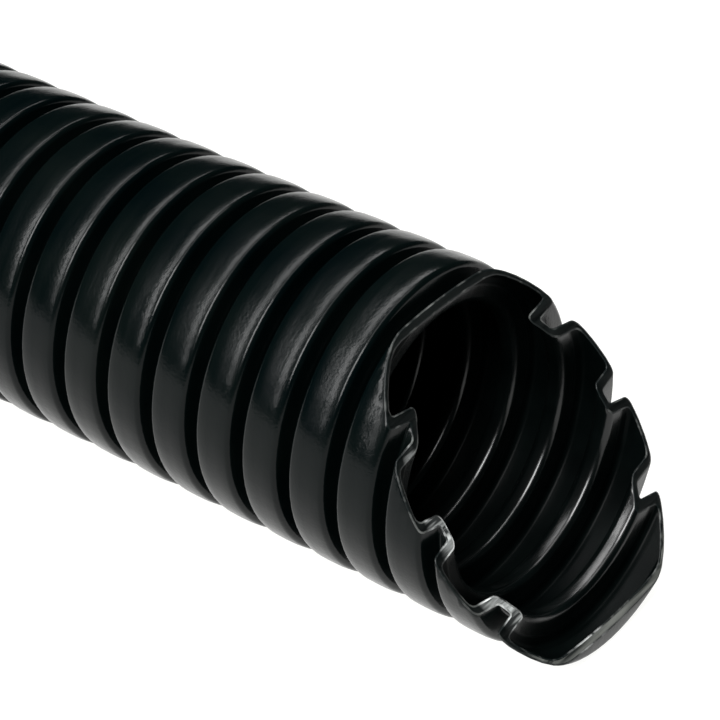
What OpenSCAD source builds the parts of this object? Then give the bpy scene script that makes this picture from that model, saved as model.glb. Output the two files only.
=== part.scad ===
// Corrugated conduit: a length of single-wall corrugated plastic cable conduit.
// Its rings are parallel and not a helix. One end is cut square in a groove. The
// other is cut off by one slanted plane that crosses four rings, so the wave of
// the wall shows all round that rim.
// All sizes are in millimetres. The conduit lies along X with its slanted end at
// +X and Z up. The crests touch z = 0, and x = 0 is halfway along.

/* [Tube] */
// Outer diameter over the crests
outer_d = 50; // [45:0.5:60]
// Whole corrugations between the square end and the slanted end's long side
rings = 115; // [8:1:200]
// Distance from one corrugation to the next
pitch = 8.7; // [8:0.1:12]

/* [Wall wave] */
// Depth of the outer groove, from crest to groove floor
groove_depth = 4.3; // [2.5:0.1:6]
// Wall thickness at the crests, where blowing stretches the wall thinnest
crest_wall = 0.8; // [0.5:0.05:1.2]
// Wall thickness at the groove floors
groove_wall = 1.2; // [0.8:0.05:1.6]
// Wall thickness of the flanks between them, measured along the axis
flank_wall = 0.9; // [0.6:0.05:1.2]
// Share of the pitch that the crest takes, at the middle of the flanks
crest_share = 0.62; // [0.5:0.01:0.65]
// Share of the pitch that the groove takes, at its floor
groove_share = 0.26; // [0.25:0.01:0.32]

/* [Roundings] */
// Outside rounding of the crest's shoulders
shoulder_r = 1.0; // [0.6:0.1:1.4]
// Radius of the crest's crown, between its level middle and its shoulders
crown_r = 12; // [6:0.5:14]
// How far the crown turns down before the shoulder starts, in degrees
crown_turn = 8; // [1:0.5:9]
// Outside rounding at the foot of the groove
foot_r = 0.35; // [0.1:0.05:0.45]
// Inside rounding of the recess under a crest
recess_r = 0.8; // [0.3:0.1:1.2]
// Inside rounding of the ridge under a groove
ridge_r = 1.2; // [0.5:0.1:1.4]
// Straight steps that make up each rounding
steps = 3; // [1:1:6]

/* [Slanted cut] */
// Angle between the slanted cut and a square cut
cut_tilt = 36.7; // [0:0.1:50]
// Distance beyond the last whole ring, in pitches, at which the plane of the cut
// meets the line of the crests on its long side
cut_beyond = 0.18; // [0:0.01:0.18]

/* [Hidden] */
$fn = 96;
polymer_black = [0.035, 0.036, 0.038];

outer_r = outer_d / 2;
floor_r = outer_r - groove_depth;
recess_top_r = outer_r - crest_wall;
bore_r = floor_r - groove_wall;

// Half widths at the middle of the wall, before the roundings
crest_half = crest_share * pitch / 2;
groove_half = groove_share * pitch / 2;
flank_run = pitch / 2 - crest_half - groove_half;

stock_length = (rings + 1) * pitch;

// Where the slanted plane would leave the crests' diameter, and where the last
// crest's flank starts. The conduit is longest where the two meet.
cut_x = (rings + cut_beyond) * pitch;
last_flank_x = rings * pitch - groove_half + flank_wall / 2 - flank_run;
flank_lean = flank_run / groove_depth;
flank_drop = (cut_x - last_flank_x) / (tan(cut_tilt) + flank_lean);
length = last_flank_x + flank_drop * flank_lean;

// Points of an arc about [cx, cr] with radius r, from angle a0 to angle a1. An arc
// that goes on from another one leaves out the point that they share.
function arc(cx, cr, r, a0, a1, first = 0) =
    [for (i = [first : steps]) let (a = a0 + (a1 - a0) * i / steps)
        [cx + r * cos(a), cr + r * sin(a)]];

// One ring of a wave line from x0 on, as distances along and from the axis: down
// at low_r for low_half each side of x0, up at high_r in the middle of the ring.
// A crown of radius crown turns by turn between the level top and the shoulders.
function ring_line(x0, high_r, low_r, low_half, low_round, high_round, crown, turn) =
    let (slope = atan2(high_r - low_r, flank_run),
         low_back = low_half - low_round * tan(slope / 2),
         crown_cr = high_r - crown,
         high_cr = crown_cr + (crown - high_round) * cos(turn),
         touch_r = high_cr + high_round * cos(slope),
         touch_x = low_half + flank_run * (touch_r - low_r) / (high_r - low_r),
         high_back = touch_x + high_round * sin(slope),
         crown_back = high_back + (crown - high_round) * sin(turn))
    concat(
        arc(x0 + low_back, low_r + low_round, low_round, -90, slope - 90),
        arc(x0 + high_back, high_cr, high_round, slope + 90, 90 + turn),
        turn > 0 ? arc(x0 + crown_back, crown_cr, crown, 90 + turn, 90, 1) : [],
        turn > 0 ? arc(x0 + pitch - crown_back, crown_cr, crown, 90, 90 - turn) : [],
        arc(x0 + pitch - high_back, high_cr, high_round, 90 - turn, 90 - slope, turn > 0 ? 1 : 0),
        arc(x0 + pitch - low_back, low_r + low_round, low_round, 270 - slope, 270));

function outside_line(x0) =
    ring_line(x0, outer_r, floor_r, groove_half - flank_wall / 2, foot_r,
        shoulder_r, crown_r, crown_turn);

// The recess under a crest is level, with plain roundings.
function inside_line(x0) =
    ring_line(x0, recess_top_r, bore_r, groove_half + flank_wall / 2, ridge_r,
        recess_r, recess_r, 0);

function reversed(line) = [for (i = [len(line) - 1 : -1 : 0]) line[i]];

// Half section through the wall of the whole stock, from groove to groove: x is
// the distance from the axis and y runs along it.
module wall_section() {
    outside = [for (k = [0 : rings]) each outside_line(k * pitch)];
    inside = [for (k = [0 : rings]) each inside_line(k * pitch)];
    outline = concat(
        [[0, floor_r]], outside, [[stock_length, floor_r], [stock_length, bore_r]],
        reversed(inside), [[0, bore_r]]);
    polygon([for (p = outline) [p[1], p[0]]]);
}

// Everything beyond the slanted cut. Its long side is at the bottom.
module slanted_offcut() {
    reach = 6 * outer_d;
    translate([cut_x, 0, -outer_r])
        rotate([0, -cut_tilt, 0])
            translate([0, -reach / 2, -reach / 2])
                cube(reach);
}

module conduit() {
    color(polymer_black)
        translate([-length / 2, 0, outer_r])
            difference() {
                rotate([0, 90, 0]) rotate_extrude() wall_section();
                slanted_offcut();
            }
}

conduit();
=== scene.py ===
"""Corrugated conduit: a wave-walled black tube with a slanted cut, on a pale floor in soft light."""

import math

import bmesh
import bpy
from mathutils import Matrix, Vector


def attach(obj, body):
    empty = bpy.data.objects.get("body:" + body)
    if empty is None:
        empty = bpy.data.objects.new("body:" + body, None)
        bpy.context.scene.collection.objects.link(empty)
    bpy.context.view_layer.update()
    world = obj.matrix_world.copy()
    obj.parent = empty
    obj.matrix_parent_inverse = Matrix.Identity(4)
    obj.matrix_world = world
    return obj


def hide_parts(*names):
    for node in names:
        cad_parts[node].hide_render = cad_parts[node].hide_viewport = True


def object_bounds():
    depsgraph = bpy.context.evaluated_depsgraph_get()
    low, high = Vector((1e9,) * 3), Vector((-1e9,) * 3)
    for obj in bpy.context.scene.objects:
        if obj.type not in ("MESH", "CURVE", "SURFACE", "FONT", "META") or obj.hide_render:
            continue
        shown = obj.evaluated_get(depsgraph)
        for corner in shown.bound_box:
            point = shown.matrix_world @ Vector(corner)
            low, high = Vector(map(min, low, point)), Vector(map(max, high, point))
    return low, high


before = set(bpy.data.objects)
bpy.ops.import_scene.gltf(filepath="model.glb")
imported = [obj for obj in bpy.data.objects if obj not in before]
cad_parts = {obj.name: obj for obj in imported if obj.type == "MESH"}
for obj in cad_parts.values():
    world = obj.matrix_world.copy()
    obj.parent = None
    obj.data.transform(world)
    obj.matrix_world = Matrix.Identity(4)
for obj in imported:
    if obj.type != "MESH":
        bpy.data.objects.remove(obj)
CAD_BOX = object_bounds()

MM = 0.001

# The wall, as part.scad has it, in millimetres.
OUTER_R = 25.0
RINGS = 115
PITCH = 8.7
GROOVE_DEPTH = 4.3
CREST_WALL = 0.8
GROOVE_WALL = 1.2
FLANK_WALL = 0.9
CREST_SHARE = 0.62
GROOVE_SHARE = 0.26
SHOULDER_R = 1.0
CROWN_R = 12.0
CROWN_TURN = math.radians(8)
FOOT_R = 0.35
RECESS_R = 0.8
RIDGE_R = 1.2
CUT_TILT = math.radians(36.7)
CUT_BEYOND = 0.18

FLOOR_R = OUTER_R - GROOVE_DEPTH
RECESS_TOP_R = OUTER_R - CREST_WALL
BORE_R = FLOOR_R - GROOVE_WALL
CREST_HALF = PITCH * CREST_SHARE / 2
GROOVE_HALF = PITCH * GROOVE_SHARE / 2
FLANK_RUN = PITCH / 2 - CREST_HALF - GROOVE_HALF
CUT_X = (RINGS + CUT_BEYOND) * PITCH

# How finely the wall is drawn: the rings by the slanted cut, and the plain run behind them.
FINE_OUTSIDE = 21
FINE_INSIDE = 10
FINE_SEGMENTS = 72
PLAIN_SEGMENTS = 36

# The strip where the saw's edge is broken, and how near points round the cut are merged.
RIM_WIDTH = 0.28
RIM_RISE = 0.10
MERGE_WITHIN = 0.22

# Where the look changes: towards the axis between two radii, for the glossier ridges and the painted
# highlight on the cut's hooks, and downwards between two heights, below which the cut is paler.
INWARD_FROM_R = 23.2
INWARD_FULL_R = 21.5
PALE_FROM_Z = 8.5
PALE_FULL_Z = 6.0

# The order of the materials on the conduit.
OUTSIDE, INSIDE, CUT, RIM = 0, 1, 2, 3

# The camera, by the direction it looks from. Lengths are in metres from here on.
LOOK_AT = (0.4526, 0.0, 0.0306)
LOOK_FROM_SIDE = math.radians(37.51)
LOOK_FROM_HEIGHT = math.radians(35.26)
LOOK_DISTANCE = 0.4448
LENS = 148.7

LIGHT_AIM = (0.45, 0.0, 0.03)
FLOOR_HALF = 4.0
FLOOR_DROP = 0.0001
ON_PLANE = 1e-6


# ---------------------------------------------------------------- camera, floor and light

def direction(side, height):
    """A unit vector by its angle from -Y towards +X, and its angle above the floor."""
    level = math.cos(height)
    return Vector((math.sin(side) * level, -math.cos(side) * level, math.sin(height)))


def add_camera():
    data = bpy.data.cameras.new("camera")
    data.lens = LENS
    data.sensor_width = 36.0
    data.clip_start = 0.05
    data.clip_end = 20.0
    camera = bpy.data.objects.new("camera", data)
    bpy.context.scene.collection.objects.link(camera)
    away = direction(LOOK_FROM_SIDE, LOOK_FROM_HEIGHT)
    camera.location = Vector(LOOK_AT) + away * LOOK_DISTANCE
    camera.rotation_euler = (-away).to_track_quat("-Z", "Y").to_euler()
    bpy.context.scene.camera = camera


def add_floor():
    half = FLOOR_HALF
    corners = [(-half, -half, 0), (half, -half, 0), (half, half, 0), (-half, half, 0)]
    mesh = bpy.data.meshes.new("floor")
    mesh.from_pydata(corners, [], [(0, 1, 2, 3)])
    floor = bpy.data.objects.new("floor", mesh)
    bpy.context.scene.collection.objects.link(floor)
    floor.location.z = -FLOOR_DROP
    floor.data.materials.append(floor_material())


def floor_material():
    """A pale sheet, lit a little from below as a light table is."""
    material = bpy.data.materials.new("pale_floor")
    material.use_nodes = True
    shader = material.node_tree.nodes["Principled BSDF"]
    shader.inputs["Base Color"].default_value = (0.14, 0.14, 0.14, 1)
    shader.inputs["Roughness"].default_value = 0.8
    shader.inputs["Emission Color"].default_value = (1.0, 1.0, 0.98, 1)
    shader.inputs["Emission Strength"].default_value = 0.97
    return material


def add_strip(name, start, end, width, power):
    """A soft strip of light between two points, given from LIGHT_AIM, and turned towards it."""
    start, end = Vector(start), Vector(end)
    along = (end - start).normalized()
    middle = (start + end) / 2
    back = (middle - along * middle.dot(along)).normalized()
    data = bpy.data.lights.new(name, "AREA")
    data.shape = "RECTANGLE"
    data.size = width
    data.size_y = (end - start).length
    data.energy = power
    lamp = bpy.data.objects.new(name, data)
    bpy.context.scene.collection.objects.link(lamp)
    lamp.location = Vector(LIGHT_AIM) + middle
    lamp.rotation_euler = Matrix((along.cross(back), along, back)).transposed().to_euler()


def add_world():
    """A faint blue-green surround, for the tint in what mirrors no strip."""
    world = bpy.data.worlds.new("studio")
    bpy.context.scene.world = world
    world.use_nodes = True
    backdrop = world.node_tree.nodes["Background"]
    backdrop.inputs["Color"].default_value = (0.55, 1.0, 1.0, 1)
    backdrop.inputs["Strength"].default_value = 0.018
    bpy.context.scene.view_settings.view_transform = "Standard"


def add_light():
    """Strips that the crests mirror as lines, and two more that light the mouth."""
    add_strip("over_the_back", (-0.33, 0.50, 0.95), (-0.37, -0.35, 0.98), 0.10, 4.6)
    add_strip("far_over_the_back", (-0.32, 0.92, 0.62), (-0.33, 0.50, 0.93), 0.10, 1.5)
    add_strip("at_the_front", (-0.40, -0.37, 0.96), (-0.50, -1.06, 0.52), 0.10, 5.8)
    add_strip("low_at_the_front", (-0.50, -1.10, 0.48), (-0.50, -1.22, 0.22), 0.09, 1.0)
    add_strip("into_the_mouth", (0.15, -0.36, 0.95), (0.18, -0.92, 0.58), 0.28, 14.0)
    add_strip("over_the_mouth", (0.08, 0.55, 0.90), (0.10, -0.30, 1.00), 0.16, 3.2)


# ---------------------------------------------------------------- the wall

def arc(middle_x, middle_r, radius, start, end, steps):
    """Points along an arc by angles in radians; with no steps, the sharp corner it rounds."""
    if steps:
        angles = [start + (end - start) * i / steps for i in range(steps + 1)]
        reach = radius
    else:
        angles = [(start + end) / 2]
        reach = radius / math.cos((end - start) / 2)
    return [(middle_x + reach * math.cos(a), middle_r + reach * math.sin(a)) for a in angles]


def half_ring(high_r, low_r, low_half, rounds, turn, steps):
    """A wave line from the middle of a groove up to the middle of a crest, as (x, radius)."""
    low_round, high_round, crown = rounds
    low_steps, high_steps, crown_steps = steps
    quarter = math.pi / 2
    slope = math.atan2(high_r - low_r, FLANK_RUN)
    low_back = low_half - low_round * math.tan(slope / 2)
    crown_cr = high_r - crown
    high_cr = crown_cr + (crown - high_round) * math.cos(turn)
    touch_r = high_cr + high_round * math.cos(slope)
    touch_x = low_half + FLANK_RUN * (touch_r - low_r) / (high_r - low_r)
    high_back = touch_x + high_round * math.sin(slope)
    crown_back = high_back + (crown - high_round) * math.sin(turn)
    foot = arc(low_back, low_r + low_round, low_round, -quarter, slope - quarter, low_steps)
    shoulder = arc(high_back, high_cr, high_round, slope + quarter, quarter + turn, high_steps)
    if turn == 0:
        return foot + shoulder
    return foot + shoulder + arc(crown_back, crown_cr, crown, quarter + turn, quarter, crown_steps)[1:]


def whole_ring(ring, half):
    """The half wave and its mirror image, at one ring's place."""
    start = ring * PITCH
    end = start + PITCH
    up = [(start + x, radius) for x, radius in half]
    down = [(end - x, radius) for x, radius in reversed(half)]
    return up + down


def outside_line(ring, fine):
    """The outer skin of one ring: grooves with a small foot, and crowned crests."""
    steps = (2, 4, 2) if fine else (0, 1, 1)
    rounds = (FOOT_R, SHOULDER_R, CROWN_R)
    low_half = GROOVE_HALF - FLANK_WALL / 2
    return whole_ring(ring, half_ring(OUTER_R, FLOOR_R, low_half, rounds, CROWN_TURN, steps))


def inside_line(ring, fine):
    """The inner skin of one ring: rounded ridges, and recesses with no crown."""
    steps = (5, 3, 0) if fine else (2, 0, 0)
    rounds = (RIDGE_R, RECESS_R, RECESS_R)
    low_half = GROOVE_HALF + FLANK_WALL / 2
    return whole_ring(ring, half_ring(RECESS_TOP_R, BORE_R, low_half, rounds, 0, steps))


def place(x, radius, turn):
    """A point of the wall in metres, in the part's own frame."""
    start_x = CAD_BOX[0][0]
    across = radius * math.cos(turn)
    height = OUTER_R + radius * math.sin(turn)
    return Vector((start_x + x * MM, across * MM, height * MM))


def add_loop(mesh, x, radius, segments):
    """A ring of points round the axis."""
    turns = [2 * math.pi * i / segments for i in range(segments)]
    return [mesh.verts.new(place(x, radius, turn)) for turn in turns]


def join_loops(mesh, first, second, skin, outward):
    """A band between two loops; the second may have the same number of points, or twice as many."""
    count = len(first)
    ratio = len(second) // count
    for i in range(count):
        a, b = first[i], first[(i + 1) % count]
        run = [second[(i * ratio + k) % len(second)] for k in range(ratio + 1)]
        corners = [a, b] + run[::-1]
        if not outward:
            corners.reverse()
        face = mesh.faces.new(corners)
        face.material_index = skin
        face.smooth = True


def add_skin(mesh, line, skin, fine_rings, outward):
    """A skin through the plain rings and then the fine ones. It returns its first loop."""
    start_radius = line(0, False)[0][1]
    loops = [add_loop(mesh, 0, start_radius, PLAIN_SEGMENTS)]
    for ring in range(RINGS + 2):
        fine = ring >= RINGS - fine_rings
        segments = FINE_SEGMENTS if fine else PLAIN_SEGMENTS
        for x, radius in line(ring, fine):
            loops.append(add_loop(mesh, x, radius, segments))
    for first, second in zip(loops, loops[1:]):
        join_loops(mesh, first, second, skin, outward)
    return loops[0]


def cut_slanting(mesh):
    """Takes off what is past the slanted cut, and closes the cut across the wall."""
    on_cut = place(CUT_X, OUTER_R, -math.pi / 2)
    away = Vector((math.cos(CUT_TILT), 0, math.sin(CUT_TILT)))
    everything = mesh.verts[:] + mesh.edges[:] + mesh.faces[:]
    made = bmesh.ops.bisect_plane(mesh, geom=everything, dist=1e-7, plane_co=on_cut,
                                  plane_no=away, clear_outer=True)
    rim = [v for v in made["geom_cut"] if isinstance(v, bmesh.types.BMVert)]
    bmesh.ops.remove_doubles(mesh, verts=rim, dist=MERGE_WITHIN * MM)
    edges = [e for e in mesh.edges if e.is_boundary and is_on(e, on_cut, away)]
    filled = bmesh.ops.triangle_fill(mesh, use_beauty=True, edges=edges, normal=away)
    sawn = [item for item in filled["geom"] if isinstance(item, bmesh.types.BMFace)]
    for face in sawn:
        face.material_index = CUT
        face.smooth = True
        if face.normal.dot(away) < 0:
            face.normal_flip()
    return sawn


def is_on(edge, point, away):
    """Whether an edge lies on the plane through a point."""
    return all(abs((v.co - point).dot(away)) < ON_PLANE for v in edge.verts)


def round_rim(mesh, sawn):
    """Breaks the saw's sharp edge all round the cut with a narrow burred strip."""
    strip = bmesh.ops.inset_region(mesh, faces=sawn, thickness=RIM_WIDTH * MM, depth=RIM_RISE * MM,
                                   use_even_offset=True, use_boundary=True)
    for face in strip["faces"]:
        face.material_index = RIM
        face.smooth = True


def close_square_end(mesh, outer, inner):
    """The flat square-cut face between the two skins' first loops."""
    for i in range(PLAIN_SEGMENTS):
        j = (i + 1) % PLAIN_SEGMENTS
        face = mesh.faces.new([outer[i], inner[i], inner[j], outer[j]])
        face.material_index = OUTSIDE


def build_conduit():
    """The whole wall as one closed mesh."""
    mesh = bmesh.new()
    outer = add_skin(mesh, outside_line, OUTSIDE, FINE_OUTSIDE, True)
    inner = add_skin(mesh, inside_line, INSIDE, FINE_INSIDE, False)
    close_square_end(mesh, outer, inner)
    sawn = cut_slanting(mesh)
    round_rim(mesh, sawn)
    data = bpy.data.meshes.new("conduit_wall")
    mesh.to_mesh(data)
    mesh.free()
    piece = bpy.data.objects.new("conduit_wall", data)
    bpy.context.scene.collection.objects.link(piece)
    return piece


# ---------------------------------------------------------------- materials

def new_material(name):
    material = bpy.data.materials.new(name)
    material.use_nodes = True
    tree = material.node_tree
    return material, tree, tree.nodes["Principled BSDF"]


def own_place(tree):
    """The place on the part, in its own metres."""
    return tree.nodes.new("ShaderNodeTexCoord").outputs["Object"]


def map_range(tree, value, source, target):
    """Carries a value from one span over to another, and holds it there at the ends."""
    node = tree.nodes.new("ShaderNodeMapRange")
    node.inputs["From Min"].default_value = source[0]
    node.inputs["From Max"].default_value = source[1]
    node.inputs["To Min"].default_value = target[0]
    node.inputs["To Max"].default_value = target[1]
    tree.links.new(value, node.inputs["Value"])
    return node.outputs["Result"]


def noise(tree, scale, detail, stretch=(1, 1, 1)):
    """Noise in the part's own metres, drawn out along an axis where stretch is below 1."""
    mapping = tree.nodes.new("ShaderNodeMapping")
    mapping.inputs["Scale"].default_value = stretch
    texture = tree.nodes.new("ShaderNodeTexNoise")
    texture.inputs["Scale"].default_value = scale
    texture.inputs["Detail"].default_value = detail
    tree.links.new(own_place(tree), mapping.inputs["Vector"])
    tree.links.new(mapping.outputs["Vector"], texture.inputs["Vector"])
    return texture.outputs["Fac"]


def colour_ramp(tree, fac, low, high, at=(0.35, 0.65)):
    """One colour up to the first place of fac, another from the second, and between them a blend."""
    ramp = tree.nodes.new("ShaderNodeValToRGB")
    ramp.color_ramp.elements[0].position = at[0]
    ramp.color_ramp.elements[1].position = at[1]
    ramp.color_ramp.elements[0].color = (*low, 1)
    ramp.color_ramp.elements[1].color = (*high, 1)
    tree.links.new(fac, ramp.inputs["Fac"])
    return ramp.outputs["Color"]


def blend(tree, fac, first, second):
    """One colour where fac is 0 and another where it is 1."""
    node = tree.nodes.new("ShaderNodeMix")
    node.data_type = "RGBA"
    tree.links.new(fac, node.inputs[0])
    tree.links.new(first, node.inputs[6])
    tree.links.new(second, node.inputs[7])
    return node.outputs[2]


def spread(tree, fac, low, high):
    """From low to high as fac goes from 0.3 to 0.7, between which noise mostly lies."""
    return map_range(tree, fac, (0.3, 0.7), (low, high))


def bump(tree, height, distance, under=None):
    """Small relief, in metres, on top of the relief under it."""
    node = tree.nodes.new("ShaderNodeBump")
    node.inputs["Strength"].default_value = 1.0
    node.inputs["Distance"].default_value = distance
    tree.links.new(height, node.inputs["Height"])
    if under is not None:
        tree.links.new(under, node.inputs["Normal"])
    return node.outputs["Normal"]


def outside_material():
    """Black polymer: faintly mottled and rippled, with fine lines drawn round the rings."""
    material, tree, shader = new_material("outside_black_polymer")
    mottle = noise(tree, 70, 5)
    tint = colour_ramp(tree, mottle, (0.0002, 0.0014, 0.0016), (0.0014, 0.0028, 0.0026))
    tree.links.new(tint, shader.inputs["Base Color"])
    streaks = noise(tree, 700, 3, (1, 0.06, 0.06))
    tree.links.new(spread(tree, streaks, 0.16, 0.24), shader.inputs["Roughness"])
    shader.inputs["Specular IOR Level"].default_value = 0.14
    ripple = bump(tree, noise(tree, 120, 2, (0.6, 1, 1)), 0.00012)
    drawn = bump(tree, streaks, 0.000012, ripple)
    grain = bump(tree, noise(tree, 2200, 3), 0.000022, drawn)
    tree.links.new(grain, shader.inputs["Normal"])
    return material


def inside_material():
    """Dull in the recesses; the inner ridges are burnished and carry the glints."""
    material, tree, shader = new_material("inside_black_polymer")
    mottle = noise(tree, 120, 3)
    tint = colour_ramp(tree, mottle, (0.0004, 0.0010, 0.0010), (0.0012, 0.0022, 0.0021))
    tree.links.new(tint, shader.inputs["Base Color"])
    ridges = inward(tree)
    tree.links.new(spread(tree, ridges, 0.36, 0.22), shader.inputs["Roughness"])
    tree.links.new(spread(tree, ridges, 0.035, 0.40), shader.inputs["Specular IOR Level"])
    ripple = bump(tree, noise(tree, 500, 2, (0.8, 1, 1)), 0.00002)
    drawn = bump(tree, noise(tree, 1500, 2, (1, 0.06, 0.06)), 0.000012, ripple)
    tree.links.new(drawn, shader.inputs["Normal"])
    return material


def rising(tree, along, low, high):
    """0 up to a place low and 1 from high, measured along a direction in the part's own metres."""
    measure = tree.nodes.new("ShaderNodeVectorMath")
    measure.operation = "DOT_PRODUCT"
    measure.inputs[1].default_value = along
    tree.links.new(own_place(tree), measure.inputs[0])
    return map_range(tree, measure.outputs["Value"], (low, high), (0, 1))


def inward(tree):
    """0 out by the crests and 1 in by the grooves' floors, which hook inwards at the cut."""
    across = tree.nodes.new("ShaderNodeMapping")
    across.inputs["Location"].default_value = (0, 0, -OUTER_R * MM)
    across.inputs["Scale"].default_value = (0, 1, 1)
    radius = tree.nodes.new("ShaderNodeVectorMath")
    radius.operation = "LENGTH"
    tree.links.new(own_place(tree), across.inputs["Vector"])
    tree.links.new(across.outputs["Vector"], radius.inputs[0])
    span = (INWARD_FROM_R * MM, INWARD_FULL_R * MM)
    return map_range(tree, radius.outputs["Value"], span, (0, 1))


def paint_hook_highlight(tree, plain, hook_highlight):
    """The plain colour, and a pale painted highlight on the near side's hooks, which face the front
    strips.
    """
    hooks = blend(tree, inward(tree), plain, hook_highlight)
    # Only on the near, -Y side, towards the camera and the front strips: the pale colour there is a
    # painted highlight.
    near_side = rising(tree, (0, -1, -0.5), 0.0, 0.003)
    return blend(tree, near_side, plain, hooks)


def cut_material():
    """Sawn polymer: dark, with fine saw lines, a painted highlight on the near side's hooks, and paler
    low down.
    """
    material, tree, shader = new_material("cut_black_polymer")
    streaks = noise(tree, 900, 3, (1, 0.08, 1))
    dark = colour_ramp(tree, streaks, (0.0004, 0.0010, 0.0010), (0.0035, 0.0050, 0.0048))
    # A paler colour for the cut low down, towards the floor.
    paler_low = colour_ramp(tree, streaks, (0.012, 0.014, 0.013), (0.13, 0.135, 0.125))
    # A pale colour painted on the near side's hooks as a highlight.
    hook_highlight = colour_ramp(tree, streaks, (0.02, 0.022, 0.022), (0.52, 0.54, 0.53), (0.40, 0.62))
    with_hook_highlight = paint_hook_highlight(tree, dark, hook_highlight)
    low_down = rising(tree, (0, 0, -1), -PALE_FROM_Z * MM, -PALE_FULL_Z * MM)
    tint = blend(tree, low_down, with_hook_highlight, paler_low)
    tree.links.new(tint, shader.inputs["Base Color"])
    tree.links.new(spread(tree, streaks, 0.35, 0.6), shader.inputs["Roughness"])
    shader.inputs["Specular IOR Level"].default_value = 0.12
    tree.links.new(bump(tree, streaks, 0.00015), shader.inputs["Normal"])
    return material


def rim_material():
    """The burred edge of the cut, paler in spots (partly a painted highlight where the edge catches
    light, partly burr whitening), with a painted highlight on the near side's hooks.
    """
    material, tree, shader = new_material("rim_black_polymer")
    spots = noise(tree, 350, 3)
    # Pale spots along the edge: partly a painted highlight where the edge catches light, partly burr
    # whitening.
    spotted = colour_ramp(tree, spots, (0.003, 0.005, 0.005), (0.10, 0.105, 0.10), (0.50, 0.72))
    # A pale colour painted on the near side's hooks as a highlight.
    hook_highlight = colour_ramp(tree, spots, (0.02, 0.022, 0.022), (0.75, 0.77, 0.76), (0.40, 0.64))
    tint = paint_hook_highlight(tree, spotted, hook_highlight)
    tree.links.new(tint, shader.inputs["Base Color"])
    tree.links.new(spread(tree, spots, 0.3, 0.5), shader.inputs["Roughness"])
    shader.inputs["Specular IOR Level"].default_value = 0.2
    tree.links.new(bump(tree, spots, 0.0001), shader.inputs["Normal"])
    return material


def add_conduit():
    """The dressed wall in the CAD conduit's place."""
    piece = build_conduit()
    for material in (outside_material(), inside_material(), cut_material(), rim_material()):
        piece.data.materials.append(material)
    smooth = piece.modifiers.new("even_normals", "WEIGHTED_NORMAL")
    smooth.keep_sharp = True
    smooth.weight = 50
    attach(piece, "root")
    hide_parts("conduit")


add_camera()
add_conduit()
add_floor()
add_world()
add_light()
